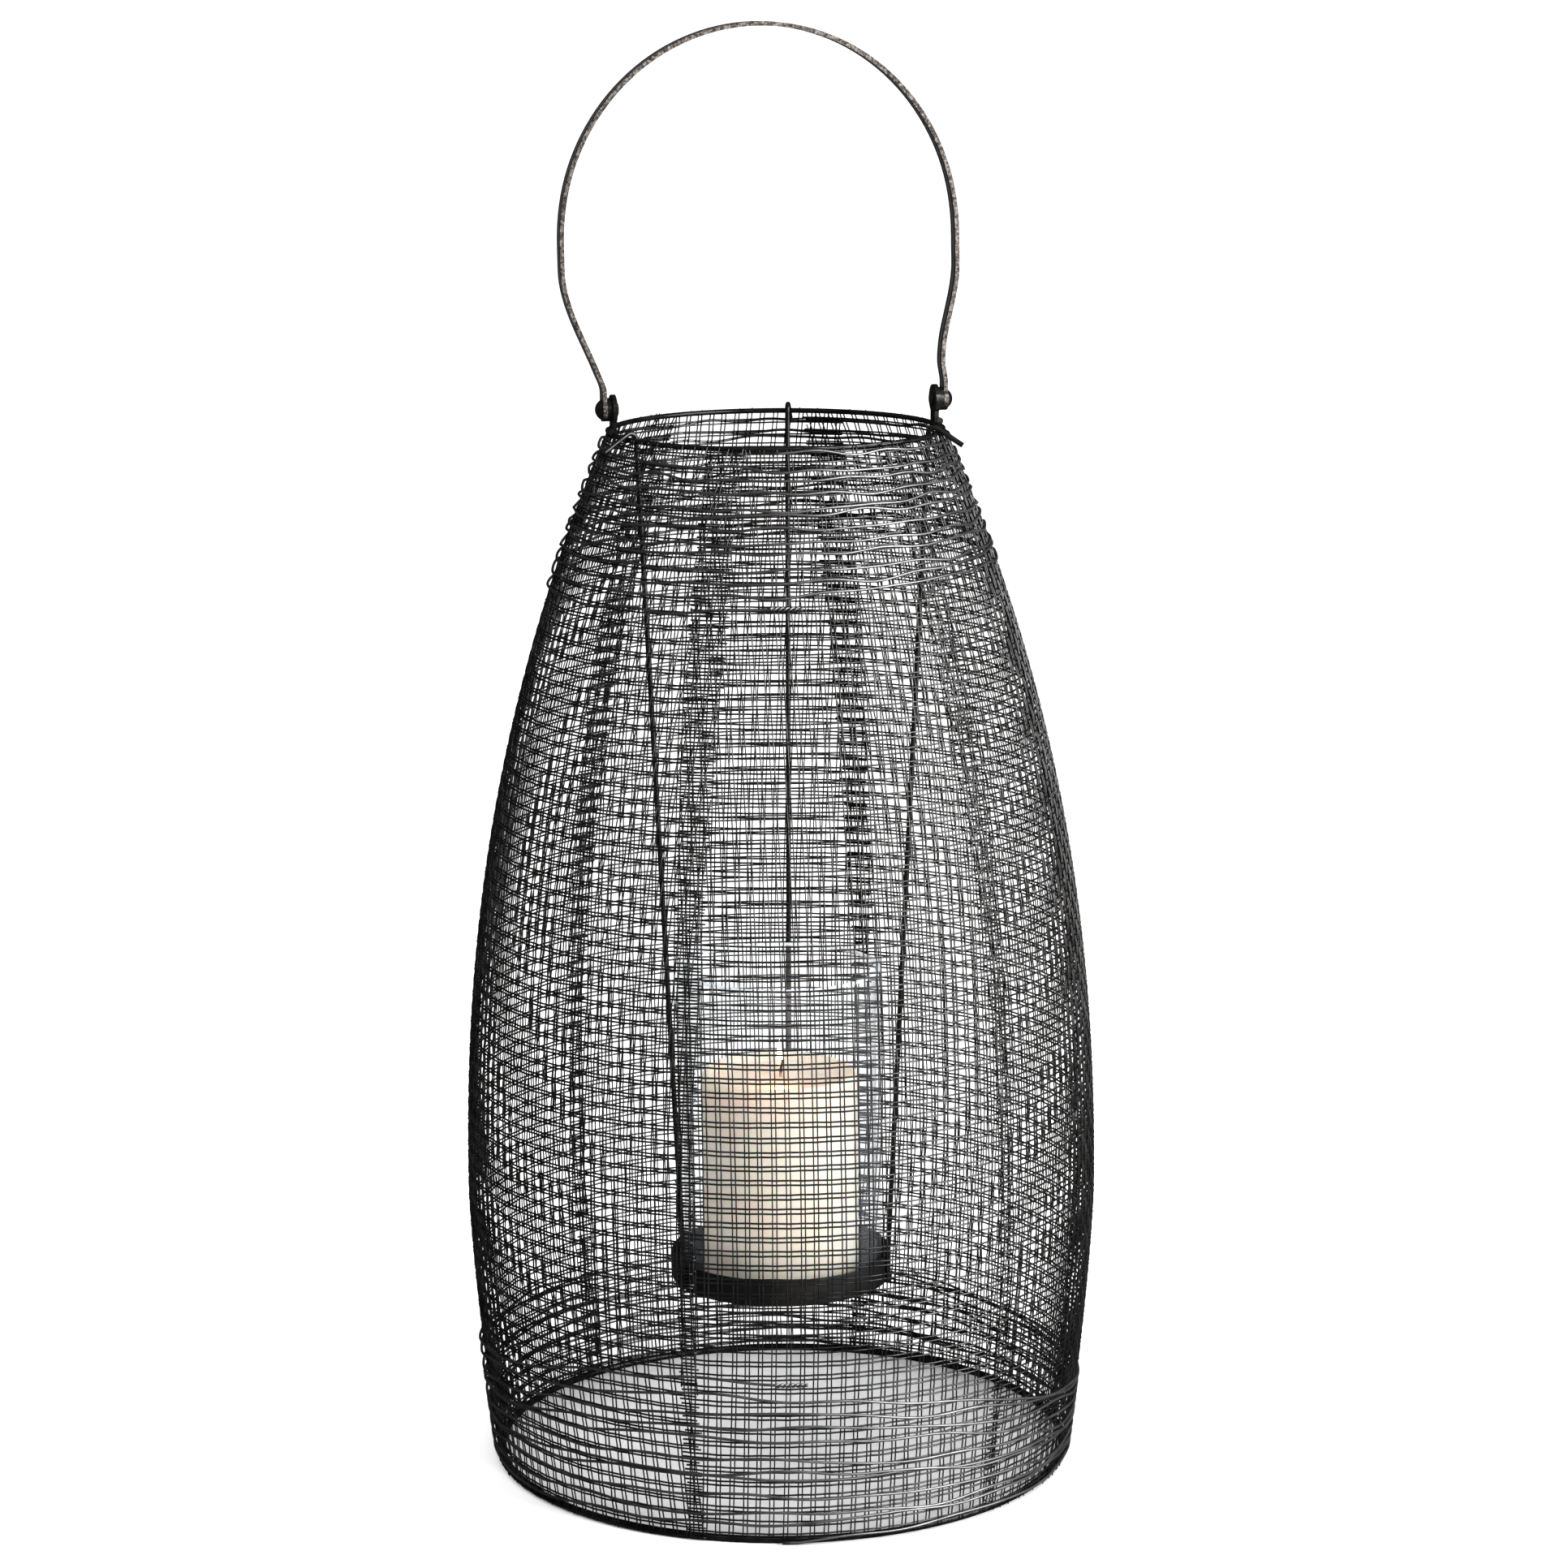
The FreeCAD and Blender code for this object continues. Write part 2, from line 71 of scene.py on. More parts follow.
level_ahead = Vector((math.sin(camera_turn), math.cos(camera_turn), 0))
level_right = Vector((math.cos(camera_turn), -math.sin(camera_turn), 0))
straight_up = Vector((0, 0, 1))


def seen_from_camera(right, ahead, height):
    """A place given as the camera's side, depth and height, from the middle of the base hoop."""
    return right * level_right + ahead * level_ahead + height * straight_up


camera_data = bpy.data.cameras.new("lantern_camera")
camera_data.lens = 100.55
camera_data.sensor_width = 36
camera = bpy.data.objects.new("lantern_camera", camera_data)
bpy.context.scene.collection.objects.link(camera)
looking = math.cos(camera_pitch) * level_ahead - math.sin(camera_pitch) * straight_up
above = level_right.cross(looking)
right = math.cos(camera_roll) * level_right - math.sin(camera_roll) * above
above = right.cross(looking)
camera_facing = Matrix((right, above, -looking)).transposed().to_4x4()
camera_place = seen_from_camera(camera_sidestep, -camera_distance, camera_height)
camera.matrix_world = Matrix.Translation(camera_place) @ camera_facing
bpy.context.scene.camera = camera
print("camera stands at", [round(value, 3) for value in camera_place])

# %% [markdown]
# ## Helpers for shader nodes
# Every finish here is made of the same few parts: a noise that varies slowly or finely over the
# piece, a ramp that turns it into a colour or a roughness, and a bump. Object coordinates are in
# metres and stay with the piece when it moves, so a scale of 100 is a pattern of about a centimetre.

# %% Node helpers
def new_material(name, **constants):
    """A material with a Principled shader, whose plain numbers are set on its own sockets."""
    made = bpy.data.materials.new(name)
    made.use_nodes = True
    shader = made.node_tree.nodes["Principled BSDF"]
    for socket, value in constants.items():
        shader.inputs[socket.replace("_", " ")].default_value = value
    return made, made.node_tree, shader


def add(tree, kind, **settings):
    """A node of this kind, with its settings."""
    made = tree.nodes.new(kind)
    for name, value in settings.items():
        setattr(made, name, value)
    return made


def object_place(tree, stretch=(1, 1, 1)):
    """The place on the piece in metres, stretched where a pattern has a grain."""
    coordinates = add(tree, "ShaderNodeTexCoord")
    mapping = add(tree, "ShaderNodeMapping")
    mapping.inputs["Scale"].default_value = stretch
    tree.links.new(coordinates.outputs["Object"], mapping.inputs["Vector"])
    return mapping.outputs["Vector"]


def noise(tree, place, scale, detail=3.0, roughness=0.55):
    """Noise from 0 to 1 over the piece."""
    made = add(tree, "ShaderNodeTexNoise")
    made.inputs["Scale"].default_value = scale
    made.inputs["Detail"].default_value = detail
    made.inputs["Roughness"].default_value = roughness
    tree.links.new(place, made.inputs["Vector"])
    return made.outputs["Fac"]


def ramp(tree, source, *stops):
    """Turns a number into a colour by (position, (red, green, blue)) stops."""
    made = add(tree, "ShaderNodeValToRGB")
    for extra in stops[2:]:
        made.color_ramp.elements.new(extra[0])
    for element, (position, colour) in zip(made.color_ramp.elements, stops):
        element.position = position
        element.color = (*colour, 1)
    tree.links.new(source, made.inputs["Fac"])
    return made.outputs["Color"]


def spread(tree, source, low, high, start=0.3, end=0.7):
    """Turns a number that runs from start to end into one from low to high."""
    made = add(tree, "ShaderNodeMapRange")
    for socket, value in zip(("From Min", "From Max", "To Min", "To Max"), (start, end, low, high)):
        made.inputs[socket].default_value = value
    tree.links.new(source, made.inputs["Value"])
    return made.outputs["Result"]


def bump(tree, shader, height, depth, strength=1.0):
    """Lets a height pattern lift the surface by up to depth metres."""
    made = add(tree, "ShaderNodeBump")
    made.inputs["Strength"].default_value = strength
    made.inputs["Distance"].default_value = depth
    tree.links.new(height, made.inputs["Height"])
    tree.links.new(made.outputs["Normal"], shader.inputs["Normal"])


print("node helpers ready")

# %% [markdown]
# ## The steels
# The mesh, the wound wires and the rods are all iron that was blackened and oiled. Such a wire is
# black where only the room is mirrored in it, and silvery where it mirrors a lamp. A dark base with a
# clear coat could do it, but then the wire is grey all over, so the irons are nearly all metal: a
# metal with a dark base shows what it mirrors and nothing else. Metals turn white where they are
# seen at a raking angle, and thin wire is all raking angles, so a dark specular tint holds that
# down. Slow noise makes some stretches browner, and fine noise breaks up the gloss.

# %% A blackened iron for wires and rods
raking_tint = (0.15, 0.15, 0.15, 1)


def blackened_iron(name, dark, light, brown, gloss, metal, grain=900):
    """Dark iron: dark to light by slow noise, brown in spots, rough or glossy by fine noise."""
    made, tree, shader = new_material(
        name, Metallic=metal, Specular_IOR_Level=0.35, Specular_Tint=raking_tint)
    place = object_place(tree)
    slow = noise(tree, place, 70)
    fine = noise(tree, place, grain, detail=5)
    mixed = add(tree, "ShaderNodeMix", data_type="RGBA")
    tree.links.new(ramp(tree, slow, (0.35, dark), (0.7, light)), mixed.inputs["A"])
    mixed.inputs["B"].default_value = (*brown, 1)
    tree.links.new(spread(tree, fine, 0.0, 0.7, 0.52, 0.72), mixed.inputs["Factor"])
    tree.links.new(mixed.outputs["Result"], shader.inputs["Base Color"])
    tree.links.new(spread(tree, fine, *gloss), shader.inputs["Roughness"])
    bump(tree, shader, fine, 0.02 * mm)
    return made


mesh_iron = blackened_iron(
    "mesh_iron", (0.04, 0.04, 0.04), (0.10, 0.099, 0.099), (0.05, 0.04, 0.033), (0.28, 0.42), 0.96)
wound_iron = blackened_iron(
    "wound_iron", (0.14, 0.14, 0.143), (0.27, 0.27, 0.275), (0.12, 0.10, 0.09), (0.36, 0.5), 0.97)
hoop_iron = blackened_iron(
    "hoop_iron", (0.015, 0.015, 0.015), (0.045, 0.044, 0.044), (0.030, 0.022, 0.017), (0.2, 0.36), 0.85,
    grain=400)
rod_iron = blackened_iron(
    "rod_iron", (0.030, 0.030, 0.030), (0.075, 0.074, 0.074), (0.040, 0.030, 0.024), (0.24, 0.38), 0.9,
    grain=500)
rivet_iron = blackened_iron(
    "rivet_iron", (0.018, 0.018, 0.018), (0.055, 0.054, 0.053), (0.030, 0.021, 0.016), (0.14, 0.3), 0.85,
    grain=350)
print("five irons made")

# %% [markdown]
# ## Dressing the pieces that keep their designed shape
# Hoops, hanger rods, ears, rivets, washers and the strap have their true shape already. They only get
# a finish, through the material slots of their objects, so that their meshes stay as designed.

# %% Dress a designed piece
def dress(node, finish):
    """Gives a designed piece its finish."""
    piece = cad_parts[node]
    for material_slot in piece.material_slots:
        material_slot.link = "OBJECT"
        material_slot.material = finish
    return piece


for hoop in ("top_ring", "base_ring"):
    dress(hoop, hoop_iron)
for number in (1, 2, 3):
    dress(f"hanger_rod_{number}", rod_iron)
for side in ("right", "left"):
    for kind in ("ear", "rivet", "washer"):
        dress(f"{kind}_{side}", rivet_iron)
print("slots of the strap:", len(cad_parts["handle_strap"].material_slots))

# %% [markdown]
# ## The strap's finish
# The handle is flat bar, oiled and handled: its broad faces are smooth grey steel, and its edges kept
# the tan, speckled mill scale. Along each corner of the faces lies a black line of painted shade. The
# bar's width runs along Y. A surface that looks along Y is therefore an edge, which tells it from a face
# surely, where a distance alone would not. The distance from the middle plane then places the painted
# shade line. It is measured at the arch, because the strap's feet are wider pads.

# %% Bar steel with scaled edges
def size_along_y(tree, source):
    """How far a place or a direction goes along Y, to either side."""
    parts = add(tree, "ShaderNodeSeparateXYZ")
    tree.links.new(source, parts.inputs["Vector"])
    size = add(tree, "ShaderNodeMath", operation="ABSOLUTE")
    tree.links.new(parts.outputs["Y"], size.inputs[0])
    return size.outputs["Value"]


def blend_colours(tree, share, first, second):
    """The first colour where the share is 0, and the second where it is 1."""
    made = add(tree, "ShaderNodeMix", data_type="RGBA")
    for socket, source in (("Factor", share), ("A", first), ("B", second)):
        tree.links.new(source, made.inputs[socket])
    return made.outputs["Result"]


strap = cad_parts["handle_strap"]
arch_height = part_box("handle_strap")[1][2] - 20 * mm
strap_points = [strap.matrix_world @ vertex.co for vertex in strap.data.vertices]
half_strap = max(abs(point.y) for point in strap_points if point.z > arch_height)
bar_steel, tree, shader = new_material("bar_steel", Metallic=0.45, Specular_IOR_Level=0.4)
place = object_place(tree)
grain = noise(tree, object_place(tree, (1, 12, 1)), 260, detail=4)
speckle = noise(tree, place, 900, detail=3)
face_grey = ramp(tree, grain, (0.3, (0.045, 0.045, 0.046)), (0.7, (0.10, 0.10, 0.103)))
# painted shade: a near-black colour for the line along each corner of the broad faces, standing in for
# the shade of the rounded corner
corner_shade_black = ramp(tree, grain, (0.3, (0.004, 0.004, 0.004)), (0.7, (0.012, 0.010, 0.009)))
scale_tan = ramp(
    tree, speckle,
    (0.38, (0.008, 0.006, 0.005)), (0.5, (0.06, 0.048, 0.04)), (0.66, (0.20, 0.18, 0.16)))
# where the painted corner shade lies: a band from 2 to 3.2 mm in from each edge of the bar
corner_shade_band = spread(
    tree, size_along_y(tree, place), 0, 1, half_strap - 3.2 * mm, half_strap - 2.0 * mm)
outward = add(tree, "ShaderNodeTexCoord").outputs["Normal"]
on_edge = spread(tree, size_along_y(tree, outward), 0, 1, 0.75, 0.95)
face = blend_colours(tree, corner_shade_band, face_grey, corner_shade_black)
tree.links.new(blend_colours(tree, on_edge, face, scale_tan), shader.inputs["Base Color"])
tree.links.new(spread(tree, grain, 0.32, 0.52), shader.inputs["Roughness"])
bump(tree, shader, speckle, 0.02 * mm)
dress("handle_strap", bar_steel)
print("strap is", round(2 * half_strap / mm, 1), "mm wide")

# %% [markdown]
# ## The shape that the mesh follows
# All the wire lies on one barrel: widest a little above the floor, drawn in to the mouth above, and
# tucked under a little below. Two power curves that meet at the belly give it. The hoops tell the
# ends, and the panels the belly.

# %% The barrel's outline
hoop_low, hoop_high = (np.array(corner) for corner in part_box("top_ring"))
foot_low, foot_high = (np.array(corner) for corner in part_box("base_ring"))
mouth_height = (hoop_low[2] + hoop_high[2]) / 2
foot_height = (foot_low[2] + foot_high[2]) / 2
belly_height = 135 * mm
mouth_radius = hoop_high[0] + 1.2 * mm
foot_radius = foot_high[0] + 1.15 * mm
panels = [f"mesh_panel_{number}" for number in range(1, 7)]
belly_radius = max(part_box(panel)[1][0] for panel in panels)


def shell_radius(height):
    """The barrel's radius at a height, or at many heights."""
    above = np.clip((height - belly_height) / (mouth_height - belly_height), 0, 1.01)
    below = np.clip((belly_height - height) / (belly_height - foot_height), 0, 1)
    return (belly_radius - (belly_radius - mouth_radius) * above ** 2.2
            - (belly_radius - foot_radius) * below ** 1.4)


ladder = np.linspace(0, mouth_height + 2 * mm, 1200)
climb = np.concatenate(([0], np.cumsum(np.hypot(np.diff(ladder), np.diff(shell_radius(ladder))))))


def height_after(run):
    """The height reached after going this far up along the barrel from the floor."""
    return np.interp(run, climb, ladder)


print("belly, mouth and foot radius, mm:",
      [round(radius / mm, 1) for radius in (belly_radius, mouth_radius, foot_radius)])

# %% [markdown]
# ## Wires as meshes
# A wire could be a curve with a bevel, but a woven panel has hundreds of wires, and one object each
# would be slow. Instead a wire is a line of points with a small ring of corners at each point, and
# all wires of a panel share one mesh. Six corners look round at this size, because the shading is
# smooth. The first spoke of every ring points out of the barrel, so that no wire twists.

# %% Tubes along lines
def outward_at(points):
    """The level direction from the lantern's axis to each point."""
    level = points * (1, 1, 0)
    return level / np.linalg.norm(level, axis=1, keepdims=True)


def tube(points, radius, sides, spokes_towards=None):
    """The corners and faces of a wire along the points, closed at both ends."""
    points = np.asarray(points, float)
    towards = outward_at(points) if spokes_towards is None else spokes_towards
    along = np.gradient(points, axis=0)
    along /= np.linalg.norm(along, axis=1, keepdims=True)
    across = np.cross(along, towards)
    across /= np.linalg.norm(across, axis=1, keepdims=True)
    towards = np.cross(across, along)
    turn = np.arange(sides) * (2 * np.pi / sides)
    spokes = (np.cos(turn)[None, :, None] * towards[:, None]
              + np.sin(turn)[None, :, None] * across[:, None])
    corners = (points[:, None] + np.reshape(radius, (-1, 1, 1)) * spokes).reshape(-1, 3)
    step = np.arange(len(points) - 1)[:, None] * sides
    here = np.arange(sides)[None, :]
    after = (here + 1) % sides
    walls = np.stack((step + here, step + sides + here, step + sides + after, step + after), axis=2)
    last = (len(points) - 1) * sides
    caps = []
    for first in range(1, sides - 1, 2):
        caps.append((0, first, first + 1, (first + 2) % sides))
        caps.append((last, last + (first + 2) % sides, last + first + 1, last + first))
    return corners, np.concatenate((walls.reshape(-1, 4), np.array(caps)))


def mesh_of_tubes(name, tubes):
    """One object that holds many tubes."""
    corners, faces, count = [], [], 0
    for some_corners, some_faces in tubes:
        corners.append(some_corners)
        faces.append(some_faces + count)
        count += len(some_corners)
    mesh = bpy.data.meshes.new(name)
    mesh.from_pydata(np.concatenate(corners), [], np.concatenate(faces))
    mesh.shade_smooth()
    piece = bpy.data.objects.new(name, mesh)
    bpy.context.scene.collection.objects.link(piece)
    return piece


print("a test wire has", len(tube([(1, 0, 0), (1, 0, 1), (1, 0, 2)], 0.1, 6)[1]), "faces")

# %% [markdown]
# ## The woven panels
# The cage is six gores of woven wire, lapped at six upright seams. The weave is doubled: wires lie in
# pairs both ways, and a pair goes over the next pair and under the one after. The upright wires run
# straight along their own panel, so towards a seam they lean, and the lap shows two weaves that don't
# agree. The level wires stop at the lap in cut ends. Neighbouring panels lie one inside the other.
# The level wires look heavier than the upright ones, and the two wires of a level pair stand closer
# in some panels than in others, so each panel has its own gap. The wires are drawn thicker than the
# real ones, the level wires by about half and the upright wires by about a fifth, because wire much
# thinner than a render can hold fades into the white behind it.

# %% Sizes of the weave
row_pitch = 6.7 * mm
row_gaps = [gap * mm for gap in (1.7, 2.0, 1.7, 1.5, 2.15, 2.8)]
column_pitch = 6.4 * mm
column_gap = 1.95 * mm
row_radius = 0.44 * mm
column_radius = 0.34 * mm
crimp = 0.24 * mm
outer_layer = -0.45 * mm
inner_layer = -1.35 * mm
lower_lap = 7 * mm
upper_lap = 17 * mm
panel_angle = math.radians(60)


def lap_at(height):
    """How far two panels overlap at a height."""
    share = np.clip((height / mouth_height - 0.35) / 0.5, 0, 1)
    return lower_lap + (upper_lap - lower_lap) * share


def half_width_at(height):
    """How far a panel reaches from its own middle line, measured round the barrel."""
    return shell_radius(height) * panel_angle / 2 + lap_at(height) / 2


print("a panel is", round(2 * half_width_at(belly_height) / mm), "mm wide at the belly and",
      round(2 * half_width_at(mouth_height) / mm), "mm at the mouth")


# %% Points on a panel
def on_panel(middle, across, height, lift):
    """Points on a panel: across its middle line, at a height, and lifted off the barrel."""
    radius = shell_radius(height)
    angle = middle + across / radius
    radius = radius + lift
    return np.stack((radius * np.cos(angle), radius * np.sin(angle), height + 0 * angle), axis=1)


def slow_wave(dice, length, reach):
    """A gentle random wave along a wire, as a function of the run along it."""
    waves = [(dice.normal(), dice.uniform(0.6, 2.5), dice.uniform(0, 2 * np.pi)) for _ in range(3)]
    return lambda run: reach * sum(
        size * np.sin(2 * np.pi * often * run / length + start) for size, often, start in waves) / 1.7


print("one wave at three places, mm:",
      [round(float(slow_wave(np.random.default_rng(1), 1, 1)(run)), 2) for run in (0, 0.3, 0.6)])


# %% Weave one panel
def weave_panel(number):
    """All the wires of one panel, level pairs first and upright pairs after."""
    dice = np.random.default_rng(40 + number)
    middle = math.radians(30 + 60 * (number - 1))
    layer = outer_layer if number % 2 == 0 else inner_layer
    full_run = climb[-1]
    shift = dice.uniform(0, row_pitch)
    tubes = []
    rows = int((full_run - shift) / row_pitch) + 1
    for row in range(rows):
        wander = slow_wave(dice, 0.16, 0.18 * mm)
        row_run = shift + row * row_pitch + dice.normal() * 0.1 * mm
        for side in (-0.5, 0.5):
            run = row_run + side * row_gaps[number - 1] * dice.uniform(0.93, 1.07)
            if not 1.2 * mm < run < full_run - 1.5 * mm:
                continue
            reach = half_width_at(height_after(run))
            ends = reach + dice.uniform(-0.6, 1.8, 2) * mm
            crossings = np.arange(-40, 41) * column_pitch / 2
            inside = crossings[(crossings > -ends[0] + 1 * mm) & (crossings < ends[1] - 1 * mm)]
            across = np.concatenate(([-ends[0]], inside, [ends[1]]))
            over = np.cos(np.pi * across / column_pitch + np.pi * row)
            over[[0, -1]] = dice.uniform(-0.5, 1.6, 2)
            height = height_after(run + wander(across))
            tubes.append(tube(on_panel(middle, across, height, layer + crimp * over), row_radius, 6))
    columns = int(half_width_at(belly_height) / column_pitch) + 1
    for column in range(-columns, columns + 1):
        wander = slow_wave(dice, 0.5, 0.2 * mm)
        nudge = dice.normal() * 0.1 * mm
        for side in (-0.5, 0.5):
            place = column * column_pitch + nudge + side * column_gap * dice.uniform(0.93, 1.07)
            run = shift + np.arange(-1, 2 * rows + 2) * row_pitch / 2
            foot_end = dice.uniform(0.5, 1.6) * mm
            mouth_end = climb[-1] - dice.uniform(0.6, 2.2) * mm
            run = run[(run > foot_end + mm) & (run < mouth_end - mm)]
            run = np.concatenate(([foot_end], run, [mouth_end]))
            height = height_after(run)
            run = run[half_width_at(height) + 0.5 * mm > abs(place)]
            if len(run) < 3:
                continue
            height = height_after(run)
            over = -np.cos(np.pi * (run - shift) / row_pitch + np.pi * column)
            across = place + wander(run)
            tubes.append(tube(on_panel(middle, across, height, layer + crimp * over), column_radius, 6))
    piece = mesh_of_tubes(f"woven_panel_{number}", tubes)
    piece.data.materials.append(mesh_iron)
    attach(piece, "body")
    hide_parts(f"mesh_panel_{number}")
    return piece, len(tubes)


for number in range(1, 7):
    piece, wires = weave_panel(number)
    print(piece.name, "has", wires, "wires and", 2 * len(piece.data.polygons), "triangles")

# %% [markdown]
# ## The wound wires
# Two long wires bind the mesh to the hoops. They were wound by hand, so the turns are never quite
# level: they wander, draw together and part again. The lower bunch is tall at the front and low on
# the right. A spiral whose height has slow waves gives this; the waves follow the whole angle and not
# one turn, so that no two turns are alike. The last end is twisted round the turn beside it.

# %% Wind a wire
wound_radius = 0.68 * mm
wound_lift = 0.5 * mm
front_angle = math.atan2(-level_ahead.y, -level_ahead.x)


def wound_path(turns, height_of, seed, sway):
    """The points of a wire wound round the barrel; height_of gives height by share and angle."""
    dice = np.random.default_rng(seed)
    angle = np.linspace(0, turns * 2 * np.pi, int(turns * 220))
    drift = sum(dice.normal() * np.sin(often * angle + dice.uniform(0, 6.3)) / often ** 0.35
                for often in (0.37, 0.73, 1.13, 2.31, 4.43, 7.3))
    kinks = sum(dice.uniform(0.5, 1) * np.sin(often * angle + dice.uniform(0, 6.3))
                for often in (9.7, 12.9, 17.3))
    share = angle / angle[-1]
    height = height_of(share, angle) + sway * (drift / 2 + kinks / 3.2)
    height = np.clip(height, 1.2 * mm, mouth_height - 0.3 * mm)
    return angle + front_angle, height, share


def round_barrel(angle, height, lift):
    """Points round the barrel, lifted off it."""
    radius = shell_radius(height) + lift
    return np.stack((radius * np.cos(angle), radius * np.sin(angle), height), axis=1)


def twisted_end(angle, height, twists=3.2, length=15 * mm):
    """Two strands of the wire's end, twisted round each other."""
    steps = np.linspace(0, 1, 60)
    tail_angle = angle + (steps - 0.2) * length / shell_radius(height)
    spin = steps * twists * 2 * np.pi
    strands = []
    for start in (0, np.pi):
        path = round_barrel(tail_angle, height + 0.6 * mm * np.sin(spin + start), wound_lift + 0.3 * mm)
        path += outward_at(path) * (0.6 * mm * np.cos(spin + start))[:, None]
        strands.append(tube(path, 0.55 * mm, 8))
    return strands


print("front of the lantern is at", round(math.degrees(front_angle), 1), "degrees")


# %% Wind the top and the bottom
def top_height(share, angle):
    """Twelve turns below the top hoop, a little taller on the left."""
    return mouth_height - 2.2 * mm - share * (66 - 4 * np.sin(angle)) * mm


def bottom_height(share, angle):
    """Eleven turns above the base hoop: tall in front, low on the right."""
    bunch = 56 + 14 * np.cos(angle) - 8 * np.sin(angle) + 8 * np.cos(2 * angle)
    return 2.5 * mm + share * bunch * mm


def wind(name, node, turns, height_of, seed, sway):
    """A wound wire with its twisted end, in place of its designed spiral."""
    angle, height, share = wound_path(turns, height_of, seed, sway)
    tubes = [tube(round_barrel(angle, height, wound_lift), wound_radius, 8)]
    tubes += twisted_end(angle[-1], height[-1])
    piece = mesh_of_tubes(name, tubes)
    piece.data.materials.append(wound_iron)
    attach(piece, "body")
    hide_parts(node)
    steps = np.diff(round_barrel(angle, height, 0), axis=0)
    print(name, "is", round(np.linalg.norm(steps, axis=1).sum(), 1), "m of wire, heights",
          round(height.min() / mm), "to", round(height.max() / mm), "mm")
    return piece


wind("wound_wire_top", "top_wrap_wire", 12, top_height, 5, 1.6 * mm)
wind("wound_wire_bottom", "bottom_wrap_wire", 11, bottom_height, 9, 1.8 * mm)

# %% [markdown]
# ## Turned pieces
# The tray, the chimney and the candle are round, so each is an outline turned about the axis. The
# outline holds only the points that the shape needs, and a rounded corner is a short arc of points,
# because a crisp corner never catches the light and looks drawn.

# %% Turn an outline
def rounded(corner, before, after, radius, steps=5):
    """An arc of points in place of a corner, where the outline goes from before to after."""
    corner, before, after = (np.array(point, float) for point in (corner, before, after))
    into = (before - corner) / np.linalg.norm(before - corner)
    out = (after - corner) / np.linalg.norm(after - corner)
    shares = np.linspace(0, 1, steps)
    return [tuple(corner + radius * (into * (1 - share) ** 2 + out * share ** 2)) for share in shares]


def round_off(outline, radius, closed=True):
    """The outline with all its corners rounded."""
    points = []
    count = len(outline)
    for index, corner in enumerate(outline):
        if not closed and index in (0, count - 1):
            points.append(corner)
            continue
        points += rounded(corner, outline[index - 1], outline[(index + 1) % count], radius)
    return points


def turned(name, outline, closed=True, steps=128):
    """An outline of (radius, height) points turned about the lantern's axis."""
    outline = np.array(outline)
    angle = np.arange(steps) * 2 * np.pi / steps
    corners = np.stack((outline[None, :, 0] * np.cos(angle)[:, None],
                        outline[None, :, 0] * np.sin(angle)[:, None],
                        np.repeat(outline[None, :, 1], steps, axis=0)), axis=2).reshape(-1, 3)
    count = len(outline)
    here = np.arange(count if closed else count - 1)[None, :]
    ring = np.arange(steps)[:, None] * count
    onward = ((np.arange(steps) + 1) % steps)[:, None] * count
    after = (here + 1) % count
    faces = np.stack((ring + here, onward + here, onward + after, ring + after), axis=2).reshape(-1, 4)
    mesh = bpy.data.meshes.new(name)
    mesh.from_pydata(corners, [], faces)
    tidy = bmesh.new()
    tidy.from_mesh(mesh)
    bmesh.ops.remove_doubles(tidy, verts=tidy.verts, dist=0.002 * mm)
    bmesh.ops.recalc_face_normals(tidy, faces=tidy.faces)
    tidy.to_mesh(mesh)
    tidy.free()
    mesh.shade_smooth()
    piece = bpy.data.objects.new(name, mesh)
    bpy.context.scene.collection.objects.link(piece)
    return piece


print("a rounded square outline has", len(round_off([(1, 0), (2, 0), (2, 1), (1, 1)], 0.1)), "points")

# %% [markdown]
# ## The tray
# The tray is a shallow pan of blackened sheet, with a rim that was turned over so that it doesn't
# cut. It is matt beside the wires, with a faint bloom of brown where it was heated.

# %% Make the tray
tray_low, tray_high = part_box("candle_tray")
tray_radius = (tray_high[0] - tray_low[0]) / 2
sheet = 1.2 * mm
at_axis = 0.001 * mm
tray_outline = round_off([
    (at_axis, tray_low[2]), (tray_radius, tray_low[2]), (tray_radius, tray_high[2]),
    (tray_radius - sheet, tray_high[2]), (tray_radius - sheet, tray_low[2] + sheet),
    (at_axis, tray_low[2] + sheet)], 0.55 * mm, closed=False)
tray = turned("pan_tray", tray_outline, closed=False)
tray_sheet, tree, shader = new_material("tray_sheet", Metallic=0.3, Specular_IOR_Level=0.35)
place = object_place(tree)
bloom = noise(tree, place, 45, detail=4)
heat_colour = ramp(
    tree, bloom,
    (0.35, (0.005, 0.005, 0.0055)), (0.6, (0.012, 0.0115, 0.011)), (0.8, (0.024, 0.018, 0.014)))
tree.links.new(heat_colour, shader.inputs["Base Color"])
fine = noise(tree, place, 700, detail=4)
tree.links.new(spread(tree, fine, 0.36, 0.6), shader.inputs["Roughness"])
bump(tree, shader, fine, 0.03 * mm)
tray.data.materials.append(tray_sheet)
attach(tray, "tray")
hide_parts("candle_tray")
print("tray is", round(2 * tray_radius / mm), "mm across")

# %% [markdown]
# ## The glass chimney
# The chimney is a plain glass tube with both its walls, inside and outside. A glass shader that bends
# the light would need many more samples behind all this wire, so the wall is clear and lets light
# straight through, with a mirror-like sheen that grows where it is seen edge-on. Soda glass is faintly
# blue, and drawn tube is never quite even, so a slow bump makes its reflections swim. The upper rim
# was ground, and ground glass looks milky, so the last millimetre mixes in a pale matt colour.

# %% Make the chimney
def height_of_place(tree):
    """The height on the piece, in metres."""
    parts = add(tree, "ShaderNodeSeparateXYZ")
    tree.links.new(object_place(tree), parts.inputs["Vector"])
    return parts.outputs["Z"]


